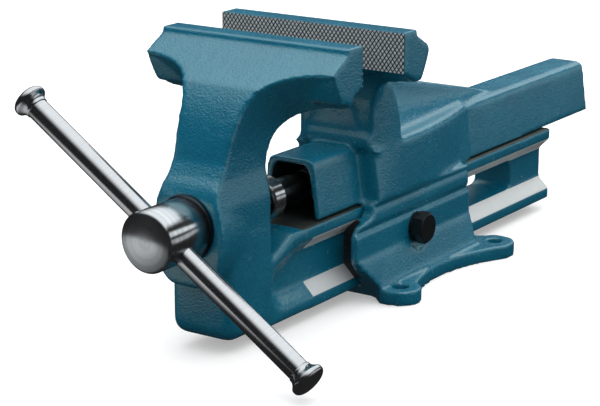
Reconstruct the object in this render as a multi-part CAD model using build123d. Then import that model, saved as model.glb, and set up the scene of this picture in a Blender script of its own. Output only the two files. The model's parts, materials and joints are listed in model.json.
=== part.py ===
from build123d import *
import math
import os

# Bench vise with a forged front-opening jaw, in millimetres.
# +X is the user's right, -Y faces the user and +Z is up. The origin is the centre
# of the four foot holes, on the underside of the base.

# Jaws
jaw_width = 140.0
jaw_top_z = 186.0
jaw_opening = 48.0
fixed_face_y = -99.0
grip_height = 26.0
lip_depth = 15.5
lip_drop = 3.5
nose_depth = 31.0
nose_drop = 12.5
block_heel_depth = 21.0
block_drop = 34.0
shoulder_slope = 0.565

# Moving jaw: neck, boss and front body
neck_half_width = 20.5
neck_depth = 28.5
brow_depth = 52.0
boss_depth = 84.5
boss_top_drop = 92.0
boss_half_width = 26.5
boss_waist_drop = 108.0
boss_crown_half = 18.5
boss_crown_drop = 75.0
boss_foot_half = 19.0
boss_toe_half = 11.5
boss_bottom_drop = 142.0
boss_thickness = 30.0
boss_draft = 2.5
front_body_depth = 72.5
front_body_corner = 9.0

# Slide beam, a double prism below the spindle
slide_half_width = 24.0
slide_bottom_z = 8.0
slide_height = 55.0
rail_side = 8.0
prism_depth = 8.5
slide_rear_y = 193.0
web_window_front_y = -60.0
web_end_length = 46.0
web_window_corner = 6.0
nose_ramp_length = 23.0
nose_ramp_drop = 11.5

# Fixed body
guide_front_y = -97.0
guide_rear_y = 50.0
guide_half_width = 35.0
guide_draft = 1.1
nose_step = 10.0
nose_step_drop = 8.0
nose_round = 7.0
nose_round_drop = 22.0
nose_undercut = 20.0
slide_clearance = 0.15
channel_front_y = -122.0
channel_rear_y = 262.0
channel_top_z = 102.0
channel_bottom_z = 64.0
channel_top_half = 18.0
channel_bottom_half = 22.5
channel_wall = 4.0
channel_round = 5.0
body_front_half = 28.5
body_flank_half = 34.5
body_draft = 2.0
body_flank_y = -41.0
body_tail_y = 72.0
body_top_z = 103.5
body_edge = 2.5
groove_radius = 3.0
band_top_z = 62.5
band_bottom_z = 50.0
fixed_neck_half = 28.0
fixed_neck_depth = 29.0
fixed_neck_heel = 58.0
ledge_diameter = 13.0
ledge_left_reach = 23.0
ledge_end_round = 4.0
spine_start_z = 150.0
spine_half_top = 10.0
spine_half_base = 33.0
spine_end_y = 126.0
spine_hollow = 0.23
spine_end_hollow = 0.16

# Base flange and feet
hole_spacing_x = 96.0
hole_spacing_y = 128.0
foot_hole = 11.0
foot_radius = 14.0
foot_thickness = 9.5
base_half_width = 44.2
waist_radius = 120.0
waist_y = -6.0
front_foot_reach = 15.0
fork_radius = 54.0
fork_depth = 19.0
skirt_top_z = 31.0
skirt_edge = 1.4
skirt_inset = 0.8
skirt_scallop_diameter = 30.0

# Spindle
spindle_axis_z = 82.0
spindle_diameter = 18.0
head_diameter = 38.0
head_length = 38.0
head_chamfer = 2.0
spindle_rear_y = 130.0
spindle_running_gap = 0.1
thrust_washer_thickness = 3.0
thrust_washer_diameter = 40.0
thrust_recess = 1.5

# Recoil spring and collar behind the moving jaw
spring_wire = 2.5
spring_diameter = 25.0
spring_turns = 4
spring_length = 15.0
spring_end_gap = 0.2
spring_washer_diameter = 27.0
spring_washer_thickness = 2.0
collar_length = 12.0
collar_diameter = 28.0
pin_diameter = 5.0

# Spindle nut
nut_front_y = -66.0
nut_length = 40.0
nut_half_width = 13.2
nut_below_axis = 14.0
nut_above_axis = 14.5
nut_lug_half_width = 9.0
nut_lug_top_z = 110.0
nut_pin_diameter = 8.0
nut_pin_z = 103.0
nut_pin_end_x = 14.0
fit_gap = 0.05

# Adjustable gib
gib_depth = 13.5
gib_clearance = 0.1
bolt_y = -22.5
bolt_z = 38.5
bolt_thread = 12.0
bolt_head_across = 19.0
bolt_head_height = 7.5
lock_washer_thickness = 2.5
lock_washer_diameter = 20.5
bolt_seat_depth = 1.5
gib_pin_diameter = 6.0
gib_pin_inset = 22.0
gib_pin_length = 10.0
gib_pin_bite = 4.0
gib_front_inset = 14.0
spot_face_diameter = 25.0
spot_face_depth = 0.5

# Handle
handle_diameter = 14.0
handle_span = 242.0
handle_tilt = 34.0
handle_gap = 0.25
handle_setback = 18.5
knob_diameter = 22.0
knob_length = 12.0
knob_flare_start = 2.5
knob_flare = 3.0
knob_dome = 4.0
knob_socket_depth = 7.0
knob_spigot = 9.0
ring_section = 2.6
ring_inset = 9.0

moving_face_y = fixed_face_y - jaw_opening
slide_top_z = slide_bottom_z + slide_height
slide_middle_z = slide_bottom_z + slide_height / 2
boss_face_y = moving_face_y - boss_depth
moving_rear_y = moving_face_y - neck_depth
web_half_width = slide_half_width - prism_depth
web_bottom_z = slide_bottom_z + rail_side + prism_depth
web_top_z = slide_top_z - rail_side - prism_depth
head_rear_y = boss_face_y + thrust_recess - thrust_washer_thickness - spindle_running_gap
head_front_y = head_rear_y - head_length
handle_y = head_front_y + handle_setback
spring_front_y = moving_rear_y + spring_end_gap
spring_washer_y = spring_front_y + spring_length + spring_end_gap
collar_front_y = spring_washer_y + spring_washer_thickness + spring_end_gap
gib_outer_x = web_half_width + slide_clearance + gib_depth
bolt_seat_x = guide_half_width - spot_face_depth
knob_start = handle_span / 2 - knob_length / 2
ring_outer_radius = handle_diameter / 2 + handle_gap / 2 + ring_section
ring_place = head_diameter / 2 - ring_inset


def along_x(outline, half_length):
    """A solid from an outline of (y, z) edges, spread evenly about x = 0."""
    face = make_face(Plane.YZ * outline)
    return extrude(face, amount=half_length, both=True)


def section_at(y):
    """The plane across the vise at y, with local axes x and z."""
    return Plane(origin=(0, y, 0), x_dir=(1, 0, 0), z_dir=(0, -1, 0))


def along_y(outline, y_front, y_rear):
    """A solid from an outline of (x, z) edges, from y_front back to y_rear."""
    face = make_face(section_at(y_rear) * outline)
    return extrude(face, amount=y_rear - y_front, dir=(0, -1, 0))


def lofted_y(front_outline, y_front, rear_outline, y_rear):
    """A ruled solid between two outlines of (x, z) edges."""
    front = make_face(section_at(y_front) * front_outline)
    rear = make_face(section_at(y_rear) * rear_outline)
    return loft([front, rear], ruled=True)


def rod(diameter, y_front, y_rear, x=0.0, z=spindle_axis_z):
    """A round bar along Y."""
    length = y_rear - y_front
    return Pos(x, (y_front + y_rear) / 2, z) * Rot(90, 0, 0) * Cylinder(diameter / 2, length)


def cross_rod(diameter, x_start, x_end, y, z):
    """A round bar along X."""
    length = x_end - x_start
    return Pos((x_start + x_end) / 2, y, z) * Rot(0, 90, 0) * Cylinder(diameter / 2, length)


def mirrored_outline(half_points):
    """A closed polyline from points on the right side, mirrored to the left."""
    left = [(-x, z) for x, z in reversed(half_points)]
    return Polyline(*half_points, *left, close=True)


class JawSide:
    """Turns depth behind a clamping face and drop below the jaw top into (y, z)."""

    def __init__(self, face_y, direction):
        self.face_y = face_y
        self.direction = direction

    def y(self, depth):
        return self.face_y + self.direction * depth

    def at(self, depth, drop):
        return (self.y(depth), jaw_top_z - drop)


moving_side = JawSide(moving_face_y, -1)
fixed_side = JawSide(fixed_face_y, 1)


def jaw_block(side):
    """The jaw itself: lip, sloping shoulder, blunt nose and the heel under it."""
    lip_corner = side.at(lip_depth, 0)
    outline = Polyline(
        side.at(0, 0),
        lip_corner,
        side.at(lip_depth, lip_drop),
        side.at(nose_depth - 2, nose_drop - 1.5),
        side.at(nose_depth, nose_drop + 2.5),
        side.at(nose_depth - 1.5, nose_drop + 7),
        side.at(block_heel_depth + 1.5, block_drop - 1),
        side.at(block_heel_depth - 2, block_drop),
        side.at(0, grip_height),
        close=True,
    )
    return along_x(outline, jaw_width / 2)


def scoop_curve(half_width, drops, sign):
    """One flank of the gusset, from the neck out to the jaw's end."""
    reach = jaw_width / 2
    points = [
        (sign * half_width, jaw_top_z - drops[0]),
        (sign * (half_width + 0.09 * reach), jaw_top_z - drops[1]),
        (sign * (half_width + 0.26 * reach), jaw_top_z - drops[2]),
        (sign * reach, jaw_top_z - drops[3]),
    ]
    return Spline(*points)


def gusset_outline(half_width, drops):
    """The section that spreads from the neck to the full width of the jaw."""
    right = scoop_curve(half_width, drops, 1)
    left = scoop_curve(half_width, drops, -1)
    ceiling = jaw_top_z + 2 * block_drop
    reach = jaw_width / 2
    foot = Line(left @ 0, right @ 0)
    walls = Polyline(right @ 1, (reach, ceiling), (-reach, ceiling), left @ 1)
    return Curve() + [foot, right, walls, left]


def gusset(side, half_width):
    """Both scooped flanks, which fall from the nose of the jaw to the throat."""
    outer_drops = (31, -1, -36, -54)
    inner_drops = (89, 67, 59, 53)
    outer = gusset_outline(half_width, outer_drops)
    inner = gusset_outline(half_width, inner_drops)
    y_outer = side.y(boss_depth + 4)
    y_inner = side.y(0)
    if side.direction < 0:
        return lofted_y(outer, y_outer, inner, y_inner)
    return lofted_y(inner, y_inner, outer, y_outer)


def moving_profile():
    """The moving jaw from the side: brow, neck, boss, front body and throat."""
    at = moving_side.at
    shoulder = at(lip_depth, lip_drop)
    brow = at(brow_depth - 2, lip_drop + shoulder_slope * (brow_depth - lip_depth - 2))
    neck_front = at(59.5, 36)
    neck_low = at(72.0, 66)
    ridge = at(77.5, boss_crown_drop)
    ridge_fall = at(82.5, boss_crown_drop + 6.5)
    boss_top = at(boss_depth, boss_top_drop)
    boss_low = at(boss_depth, boss_bottom_drop + 4)
    rear_low = at(neck_depth, boss_bottom_drop + 4)
    rear_high = at(neck_depth, 75)
    throat = at(17.5, 45)
    under = at(7, 29.5)
    face_foot = at(0, grip_height)
    face_top = at(0, lip_drop)
    return Curve() + [
        Line(shoulder, brow),
        Spline(brow, neck_front, neck_low),
        Line(neck_low, ridge),
        Spline(ridge, ridge_fall, boss_top),
        Line(boss_top, boss_low),
        Line(boss_low, rear_low),
        Line(rear_low, rear_high),
        Spline(rear_high, at(24.5, 58), throat, under),
        Line(under, face_foot),
        Line(face_foot, face_top),
        Line(face_top, shoulder),
    ]


def moving_front_outline():
    """The neck and lower body as seen from the front."""
    z = jaw_top_z
    half = [
        (neck_half_width + 3.5, z - 28),
        (neck_half_width + 1.0, z - 46),
        (neck_half_width - 0.5, z - 62),
        (neck_half_width - 0.5, z - boss_crown_drop),
        (slide_half_width - 0.5, z - boss_top_drop),
        (slide_half_width - 0.5, z - boss_waist_drop - 10),
        (boss_toe_half - 1, z - boss_bottom_drop + 1),
    ]
    return mirrored_outline(half)


def front_body():
    """The block under the boss, with rounded corners, that the slide grows from."""
    top_z = jaw_top_z - boss_top_drop - 20
    front_y = moving_side.y(front_body_depth)
    depth = moving_rear_y - front_y
    height = top_z - slide_bottom_z
    middle = Pos(0, (front_y + moving_rear_y) / 2, slide_bottom_z + height / 2)
    block = middle * Box(2 * slide_half_width, depth, height)
    corners = block.edges().filter_by(Axis.Z).sort_by(Axis.Y)[:2]
    corners += block.edges().filter_by(Axis.Y).sort_by(Axis.Z)[:2]
    corners += block.faces().sort_by(Axis.Z)[0].edges().sort_by(Axis.Y)[:1]
    return fillet(corners, front_body_corner)


def boss_outline(shrink):
    """The barrel outline of the boss, drawn in all round by shrink."""
    z = jaw_top_z
    points = [
        (boss_crown_half - shrink / 2, z - boss_crown_drop - shrink),
        (boss_half_width - 2.5 - shrink, z - boss_top_drop),
        (boss_half_width - shrink, z - boss_waist_drop),
        (boss_half_width - 2 - shrink, z - boss_waist_drop - 18),
        (boss_foot_half - shrink, z - boss_bottom_drop + 5.5 + shrink / 2),
        (boss_toe_half - shrink, z - boss_bottom_drop + shrink),
    ]
    right = Spline(*points)
    left = Spline(*[(-x, height) for x, height in reversed(points)])
    return Curve() + [right, Line(right @ 1, left @ 0), left, Line(left @ 1, right @ 0)]


def spindle_boss():
    """The barrel-shaped boss that carries the spindle, narrower towards the rear."""
    rear_y = boss_face_y + boss_thickness
    return lofted_y(boss_outline(0), boss_face_y, boss_outline(boss_draft), rear_y)


def prism_section(grow):
    """The double prism of the slide, grown all round by a clearance."""
    outer = slide_half_width + grow
    inner = web_half_width + grow
    half = [
        (outer, slide_top_z + grow),
        (outer, slide_top_z - rail_side - grow * 0.4),
        (inner, web_top_z - grow * 0.4),
        (inner, web_bottom_z + grow * 0.4),
        (outer, slide_bottom_z + rail_side + grow * 0.4),
        (outer, slide_bottom_z - grow),
    ]
    return mirrored_outline(half)


def nose_pocket(sign):
    """The forged end of the web recess, in the side of the front body."""
    start = moving_rear_y + 37
    front = moving_rear_y - 1.5

    def outline(inset):
        low = slide_bottom_z + rail_side + inset
        high = slide_top_z - rail_side - inset
        lower = Line((start, low), (front + 17, low))
        rise_start = (front + 8 + inset, high - 7.5)
        turn_low = ThreePointArc((front + 17, low), (front + inset, slide_middle_z - 3), rise_start)
        rise = Line(rise_start, (start - 6, high))
        upper = Line((start - 6, high), (start, high))
        back = Line((start, high), (start, low))
        return Curve() + [lower, turn_low, rise, upper, back]

    overshoot = 0.5
    outer_plane = Plane.YZ.offset(sign * (slide_half_width + overshoot))
    inner_plane = Plane.YZ.offset(sign * web_half_width)
    outer = make_face(outer_plane * outline(-overshoot))
    inner = make_face(inner_plane * outline(prism_depth))
    return loft([outer, inner], ruled=True)


def slide_beam():
    """The beam with its rails, web window and the ramp at its root."""
    root_y = moving_rear_y - 6
    beam = along_y(prism_section(0), moving_rear_y + 36, slide_rear_y)
    root_half = [(slide_half_width, slide_top_z), (slide_half_width, slide_bottom_z)]
    beam += along_y(mirrored_outline(root_half), root_y, moving_rear_y + 36)
    beam -= nose_pocket(1)
    beam -= nose_pocket(-1)
    window_rear_y = slide_rear_y - web_end_length
    window = Pos(0, (web_window_front_y + window_rear_y) / 2, slide_middle_z) * Box(
        2 * slide_half_width, window_rear_y - web_window_front_y, web_top_z - web_bottom_z
    )
    window = fillet(window.edges().filter_by(Axis.X), web_window_corner)
    beam -= window
    ramp = Polyline(
        (moving_rear_y, slide_top_z - nose_ramp_drop),
        (moving_rear_y + nose_ramp_length, slide_top_z),
        (moving_rear_y + nose_ramp_length, slide_top_z + 5),
        (moving_rear_y, slide_top_z + 5),
        close=True,
    )
    beam -= along_x(ramp, slide_half_width + 1)
    return beam


def moving_jaw_body():
    """The forged front jaw, its boss and the slide beam in one piece."""
    spread = gusset(moving_side, neck_half_width)
    column = along_y(moving_front_outline(), boss_face_y - 1, moving_face_y)
    side_shape = along_x(moving_profile(), jaw_width / 2)
    forging = side_shape & (spread + column)
    forging += jaw_block(moving_side)
    forging += side_shape & spindle_boss()
    forging += front_body()
    forging += slide_beam()
    bore = spindle_diameter + 2 * spindle_running_gap
    forging -= rod(bore, boss_face_y - 1, moving_rear_y + 1)
    forging -= rod(thrust_washer_diameter + 0.6, boss_face_y - 1, boss_face_y + thrust_recess)
    return forging


def channel_section(top_half, bottom_half, top_z, wall):
    """A channel section, wider at its open bottom."""
    half = [
        (top_half - wall - channel_round * 0.6, top_z - wall),
        (top_half - wall, top_z - wall - channel_round),
        (bottom_half - wall, channel_bottom_z),
        (bottom_half, channel_bottom_z),
        (top_half, top_z - channel_round),
        (top_half - channel_round * 0.3, top_z - channel_round * 0.3),
        (top_half - channel_round, top_z),
    ]
    left = [(-x, z) for x, z in reversed(half)]
    outline = Polyline(*half, *left, close=True)
    return outline


def spindle_channel():
    """The long inverted channel over the spindle, which is also the tail of the body."""
    front = channel_section(channel_top_half, channel_bottom_half, channel_top_z, channel_wall)
    tail_shrink = 2.0
    rear = channel_section(
        channel_top_half - tail_shrink, channel_bottom_half - tail_shrink, channel_top_z, channel_wall
    )
    return lofted_y(front, channel_front_y, rear, channel_rear_y)


def body_plan(front_half, flank_half, tail_half, z):
    """The plan of the upper body at a height: blunt front, bulging flank, narrow tail."""
    front_y = fixed_side.y(fixed_neck_depth)
    turn_half = front_half + 0.72 * (flank_half - front_half)
    middle_half = tail_half + 0.74 * (flank_half - tail_half)
    right = [
        ThreePointArc(
            (front_half, front_y),
            (turn_half, (front_y + body_flank_y) / 2),
            (flank_half, body_flank_y),
        ),
        ThreePointArc(
            (flank_half, body_flank_y),
            (middle_half, (body_flank_y + body_tail_y) / 2),
            (tail_half, body_tail_y),
        ),
    ]
    left = [mirror(edge, about=Plane.YZ) for edge in right]
    front = Line((-front_half, front_y), (front_half, front_y))
    tail = Line((-tail_half, body_tail_y), (tail_half, body_tail_y))
    return make_face(Plane.XY.offset(z) * (Curve() + [*right, *left, front, tail]))


def upper_body():
    """The body between the neck and the slide guide, with drafted flanks and a crown."""
    low_half = body_flank_half + body_draft
    rim_z = body_top_z - body_edge
    low = body_plan(low_half - 1, low_half, channel_bottom_half, channel_bottom_z - 2)
    rim = body_plan(body_front_half, body_flank_half, channel_top_half, rim_z)
    crown = body_plan(
        body_front_half - body_edge,
        body_flank_half - body_edge,
        channel_top_half - body_edge,
        body_top_z,
    )
    return loft([low, rim], ruled=True) + loft([rim, crown], ruled=True)


def guide_section():
    """The outside of the slide guide: a drafted wall that runs out into the skirt."""
    half = [
        (guide_half_width - guide_draft, channel_bottom_z + 2),
        (guide_half_width + 0.2, skirt_top_z),
        (guide_half_width + skirt_edge, skirt_top_z - skirt_edge / 2),
        (base_half_width - skirt_inset - 2, foot_thickness + 3.5),
        (base_half_width - skirt_inset, foot_thickness - 0.5),
        (base_half_width - skirt_inset, 0),
    ]
    return mirrored_outline(half)


def guide_housing():
    """The housing round the slide, with its rounded nose and its skirt."""
    housing = along_y(guide_section(), guide_front_y, guide_rear_y)
    back_y = fixed_side.y(fixed_neck_depth)
    step_top = (back_y - 0.45 * nose_step, channel_bottom_z - 1)
    step_foot = (back_y - nose_step, channel_bottom_z - nose_step_drop)
    round_top = (guide_front_y + nose_round, channel_bottom_z - nose_step_drop - 2)
    round_foot = (guide_front_y, channel_bottom_z - nose_round_drop)
    nose_cut = Curve() + [
        Line((guide_front_y - 1, channel_bottom_z + 3), (back_y, channel_bottom_z + 3)),
        Line((back_y, channel_bottom_z + 3), step_top),
        ThreePointArc(step_top, (back_y - 0.5 * nose_step, channel_bottom_z - 5), step_foot),
        Line(step_foot, round_top),
        ThreePointArc(round_top, (guide_front_y + 2, channel_bottom_z - 14), round_foot),
        Line(round_foot, (guide_front_y - 1, round_foot[1])),
        Line((guide_front_y - 1, round_foot[1]), (guide_front_y - 1, channel_bottom_z + 3)),
    ]
    undercut = Polyline(
        (guide_front_y - 1, skirt_top_z),
        (guide_front_y, skirt_top_z),
        (guide_front_y + 3.5, skirt_top_z - 5),
        (guide_front_y + nose_undercut, foot_thickness),
        (guide_front_y + nose_undercut + 9, -1),
        (guide_front_y - 1, -1),
        close=True,
    )
    reach = base_half_width + 5
    return housing - along_x(nose_cut, reach) - along_x(undercut, reach)


def side_grooves():
    """Long grooves that set off the band beside the slide's upper rail."""
    tool = None
    for z in (band_top_z, band_bottom_z):
        for sign in (1, -1):
            groove = rod(
                2 * groove_radius, guide_front_y - 1, guide_rear_y + 1,
                x=sign * (guide_half_width + 0.8), z=z,
            )
            tool = groove if tool is None else tool + groove
    return tool


def waist_cut(height):
    """The two long hollows in the sides of the base between the feet."""
    tool = None
    for sx in (-1, 1):
        centre_x = sx * (base_half_width + waist_radius)
        hollow = Pos(centre_x, waist_y, height / 2) * Cylinder(waist_radius, height + 1)
        tool = hollow if tool is None else tool + hollow
    return tool


def base_plate():
    """The four feet with their lobes, the waist between them and the forked ends."""
    hx = hole_spacing_x / 2
    hy = hole_spacing_y / 2
    mid_z = foot_thickness / 2
    plate = Pos(0, 0, mid_z) * Box(2 * (hx + foot_radius), hole_spacing_y, foot_thickness)
    plate -= waist_cut(foot_thickness)
    for sx in (-1, 1):
        for sy in (-1, 1):
            plate += Pos(sx * hx, sy * hy, mid_z) * Cylinder(foot_radius, foot_thickness)
    for sy, reach in ((-1, front_foot_reach), (1, foot_radius)):
        arm = Pos(0, sy * (hy + reach / 2), mid_z) * Box(2 * hx, reach, foot_thickness)
        fork_y = sy * (hy + reach + fork_radius - fork_depth)
        plate += arm
        plate -= Pos(0, fork_y, mid_z) * Cylinder(fork_radius, foot_thickness + 1)
    return plate


def fixed_neck():
    """The neck of the fixed jaw, with scooped flanks and a hollow back."""
    at = fixed_side.at
    body_drop = jaw_top_z - body_top_z + 3
    outline = Curve() + [
        Line(at(0, lip_drop), at(0, grip_height)),
        Line(at(0, grip_height), at(8, 30)),
        Spline(at(8, 30), at(22, 40), at(28, 50), at(fixed_neck_depth, 62)),
        Line(at(fixed_neck_depth, 62), at(fixed_neck_depth, body_drop)),
        Line(at(fixed_neck_depth, body_drop), at(fixed_neck_heel, body_drop)),
        Spline(at(fixed_neck_heel, body_drop), at(56.5, 68), at(50, 51), at(37, 33)),
        Line(at(37, 33), at(nose_depth - 2, nose_drop + 8)),
        Line(at(nose_depth - 2, nose_drop + 8), at(lip_depth, lip_drop)),
        Line(at(lip_depth, lip_drop), at(0, lip_drop)),
    ]
    spread = gusset(fixed_side, fixed_neck_half)
    front_y = fixed_face_y
    turn_y = fixed_side.y(fixed_neck_depth)
    rear_y = fixed_side.y(fixed_neck_heel) + 1
    column_plan = Polyline(
        (fixed_neck_half, front_y),
        (fixed_neck_half, turn_y),
        (body_flank_half - 1.5, (turn_y + rear_y) / 2),
        (body_flank_half, rear_y),
        (-body_flank_half, rear_y),
        (1.5 - body_flank_half, (turn_y + rear_y) / 2),
        (-fixed_neck_half, turn_y),
        (-fixed_neck_half, front_y),
        close=True,
    )
    base = make_face(Plane.XY.offset(jaw_top_z - body_drop) * column_plan)
    column = extrude(base, amount=body_drop - 42)
    return along_x(outline, jaw_width / 2) & (spread + column)


def spine_outline(top_z, half_top, half_base, base_z, hollow):
    """A bell-shaped section of the spine behind the fixed jaw."""
    knee = (half_top + half_base) / 2 - (half_base - half_top) * hollow
    knee_z = base_z + (top_z - base_z) * 0.42
    right = ThreePointArc((half_base, base_z), (knee, knee_z), (half_top, top_z))
    left = ThreePointArc((-half_top, top_z), (-knee, knee_z), (-half_base, base_z))
    return Curve() + [right, Line(right @ 1, left @ 0), left, Line(left @ 1, right @ 0)]


def spine():
    """The ridge that runs from the fixed jaw down to the tail."""
    base_z = body_top_z - 5
    start_y = fixed_side.y(nose_depth - 3)
    front = spine_outline(spine_start_z, spine_half_top, spine_half_base, base_z, spine_hollow)
    rear = spine_outline(
        channel_top_z + 0.4, spine_half_top - 3, channel_top_half - 5, base_z, spine_end_hollow
    )
    return lofted_y(front, start_y, rear, spine_end_y)


def throat_ledge():
    """The rounded ledge at the foot of the throat, over the spindle channel."""
    y = fixed_side.y(fixed_neck_depth)
    ledge = cross_rod(ledge_diameter, -ledge_left_reach, fixed_neck_half, y + 1.5, channel_top_z + 3)
    return fillet(ledge.edges().filter_by(GeomType.CIRCLE), ledge_end_round)


def gib_section(gap):
    """The V-nosed gib, which stands in for the right-hand prism of the guide."""
    nose = web_half_width + slide_clearance
    shoulder = slide_half_width + slide_clearance
    low = slide_bottom_z + rail_side
    high = slide_top_z - rail_side
    lean = slide_clearance * 0.4
    return Polyline(
        (nose, web_bottom_z + lean),
        (shoulder, low + lean),
        (gib_outer_x + gap, low + lean - gap),
        (gib_outer_x + gap, high - lean + gap),
        (shoulder, high - lean),
        (nose, web_top_z - lean),
        close=True,
    )


def fixed_jaw_body():
    """The rear forging: jaw, neck, spine, channel, guide housing and feet."""
    forging = spindle_channel()
    forging += upper_body()
    forging += guide_housing()
    forging += base_plate()
    forging += throat_ledge()
    forging += fixed_neck()
    forging += spine()
    forging += jaw_block(fixed_side)
    forging -= side_grooves()
    scallop_start = guide_half_width + 0.1
    forging -= cross_rod(skirt_scallop_diameter, scallop_start, base_half_width + 5, bolt_y, bolt_z)
    forging -= along_y(prism_section(slide_clearance), channel_front_y - 1, guide_rear_y + 40)
    hollow_half = [
        (channel_top_half - channel_wall - channel_round * 0.6, channel_top_z - channel_wall),
        (channel_top_half - channel_wall - 0.4, channel_top_z - channel_wall - channel_round),
        (channel_bottom_half - channel_wall - 1, slide_top_z - 1),
    ]
    forging -= along_y(mirrored_outline(hollow_half), guide_front_y - 2, guide_rear_y + 30)
    pocket = gib_section(gib_clearance)
    forging -= along_y(pocket, guide_front_y - 1, guide_rear_y + 1)
    forging -= cross_rod(bolt_thread + 2 * fit_gap, web_half_width, guide_half_width + 10, bolt_y, bolt_z)
    forging -= cross_rod(spot_face_diameter, bolt_seat_x, guide_half_width + 10, bolt_y, bolt_z)
    for y in gib_pin_places():
        pin_hole_end = gib_pin_rear_x() + fit_gap
        forging -= cross_rod(gib_pin_diameter + 2 * fit_gap, gib_outer_x - 1, pin_hole_end, y, bolt_z)
    forging -= nut_lug(fit_gap)
    forging -= nut_pin(fit_gap)
    for sx in (-1, 1):
        for sy in (-1, 1):
            hole = Pos(sx * hole_spacing_x / 2, sy * hole_spacing_y / 2, foot_thickness / 2)
            forging -= hole * Cylinder(foot_hole / 2, foot_thickness * 6)
    return forging


def gib_pin_places():
    """The y of the two pins that stop the gib from creeping along the guide."""
    return (guide_front_y + gib_pin_inset, guide_rear_y - gib_pin_inset)


def gib_pin_rear_x():
    """Where the gib pins end in the wall of the guide."""
    return gib_outer_x + gib_clearance + gib_pin_bite


def adjusting_gib():
    """The gib, with pin holes and a shallow seat for the tip of the bolt."""
    gib = along_y(gib_section(0), guide_front_y + gib_front_inset, guide_rear_y - 1)
    for y in gib_pin_places():
        start = gib_pin_rear_x() - gib_pin_length - fit_gap
        gib -= cross_rod(gib_pin_diameter + 2 * fit_gap, start, gib_outer_x + 1, y, bolt_z)
    return gib - cross_rod(bolt_thread + 1, gib_outer_x - bolt_seat_depth, gib_outer_x + 1, bolt_y, bolt_z)


def gib_pins():
    """Two dowels between the gib and the wall of the guide."""
    pins = []
    for y in gib_pin_places():
        pin = cross_rod(gib_pin_diameter, gib_pin_rear_x() - gib_pin_length, gib_pin_rear_x(), y, bolt_z)
        pins.append(chamfer(pin.edges().filter_by(GeomType.CIRCLE), 0.6))
    return Compound(children=pins)


def adjusting_bolt():
    """The hexagon bolt that presses the gib against the slide."""
    head_x = bolt_seat_x + lock_washer_thickness
    tip_x = gib_outer_x - bolt_seat_depth + fit_gap
    shank = cross_rod(bolt_thread, tip_x, head_x, bolt_y, bolt_z)
    shank = chamfer(shank.edges().filter_by(GeomType.CIRCLE).sort_by(Axis.X)[0], 1.0)
    plane = Plane(origin=(head_x, bolt_y, bolt_z), x_dir=(0, 1, 0), z_dir=(1, 0, 0))
    hexagon = plane * RegularPolygon(bolt_head_across / 2, 6, major_radius=False, rotation=15)
    head = extrude(hexagon, amount=bolt_head_height)
    corner_radius = bolt_head_across / math.sqrt(3)
    crown = Plane(origin=(head_x, bolt_y, bolt_z), z_dir=(1, 0, 0)) * Cylinder(
        corner_radius, bolt_head_height, align=(Align.CENTER, Align.CENTER, Align.MIN)
    )
    crown = chamfer(crown.edges().filter_by(GeomType.CIRCLE).sort_by(Axis.X)[-1], 0.9, 1.8)
    return shank + (head & crown)


def bolt_lock_washer():
    """The split spring washer under the head of the adjusting bolt."""
    end_x = bolt_seat_x + lock_washer_thickness
    ring = cross_rod(lock_washer_diameter, bolt_seat_x, end_x, bolt_y, bolt_z)
    ring -= cross_rod(bolt_thread + 0.4, bolt_seat_x - 1, end_x + 1, bolt_y, bolt_z)
    slot = Pos(bolt_seat_x, bolt_y - lock_washer_diameter / 2, bolt_z) * Rot(0, 25, 0)
    return ring - slot * Box(12, lock_washer_diameter / 2, 1.2)


def nut_lug(gap):
    """The upper lug of the nut, which takes the thrust in its pocket."""
    height = nut_lug_top_z - spindle_axis_z
    middle = Pos(0, nut_front_y + nut_length / 2, spindle_axis_z + height / 2)
    return middle * Box(2 * (nut_lug_half_width + gap), nut_length + 2 * gap, height + 2 * gap)


def nut_pin(gap):
    """The cross pin through the lug of the nut, driven in from the left."""
    y = nut_front_y + nut_length / 2
    start = -body_flank_half - 6 if gap else -fixed_neck_half + 1
    return cross_rod(nut_pin_diameter + 2 * gap, start, nut_pin_end_x + gap, y, nut_pin_z)


def spindle_nut():
    """The block nut that hangs from the roof of the channel."""
    height = nut_above_axis + nut_below_axis
    middle_y = nut_front_y + nut_length / 2
    middle = Pos(0, middle_y, spindle_axis_z + (nut_above_axis - nut_below_axis) / 2)
    block = middle * Box(2 * nut_half_width, nut_length, height)
    block = chamfer(block.edges().filter_by(Axis.Y), 4)
    block += nut_lug(0)
    block -= rod(spindle_diameter + 2 * spindle_running_gap, nut_front_y - 1, nut_front_y + nut_length + 1)
    return block - nut_pin(fit_gap)


def thrust_washer():
    """The washer in the face of the boss that the spindle head presses on."""
    rear_y = boss_face_y + thrust_recess
    ring = rod(thrust_washer_diameter, rear_y - thrust_washer_thickness, rear_y)
    ring = chamfer(ring.edges().filter_by(GeomType.CIRCLE).sort_by(Axis.Y)[0], 0.5)
    return ring - rod(spindle_diameter + 4 * spindle_running_gap, rear_y - 10, rear_y + 1)


def recoil_spring():
    """The compression spring that draws the jaw back with the spindle."""
    radius = (spring_diameter - spring_wire) / 2
    rise = spring_length - spring_wire
    path = Helix(pitch=rise / spring_turns, height=rise, radius=radius)
    section = Plane(origin=path @ 0, z_dir=path % 0) * Circle(spring_wire / 2)
    coil = sweep(section, path=path)
    return Pos(0, spring_front_y + spring_wire / 2, spindle_axis_z) * Rot(-90, 0, 0) * coil


def spring_washer():
    """The plain washer between the spring and the collar."""
    ring = rod(spring_washer_diameter, spring_washer_y, spring_washer_y + spring_washer_thickness)
    return ring - rod(spindle_diameter + 0.6, spring_washer_y - 1, spring_washer_y + 5)


def handle_axis(distance):
    """A point on the axis of the handle, as (x, z), at a distance to its right."""
    tilt = math.radians(handle_tilt)
    return (distance * math.cos(tilt), spindle_axis_z - distance * math.sin(tilt))


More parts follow.
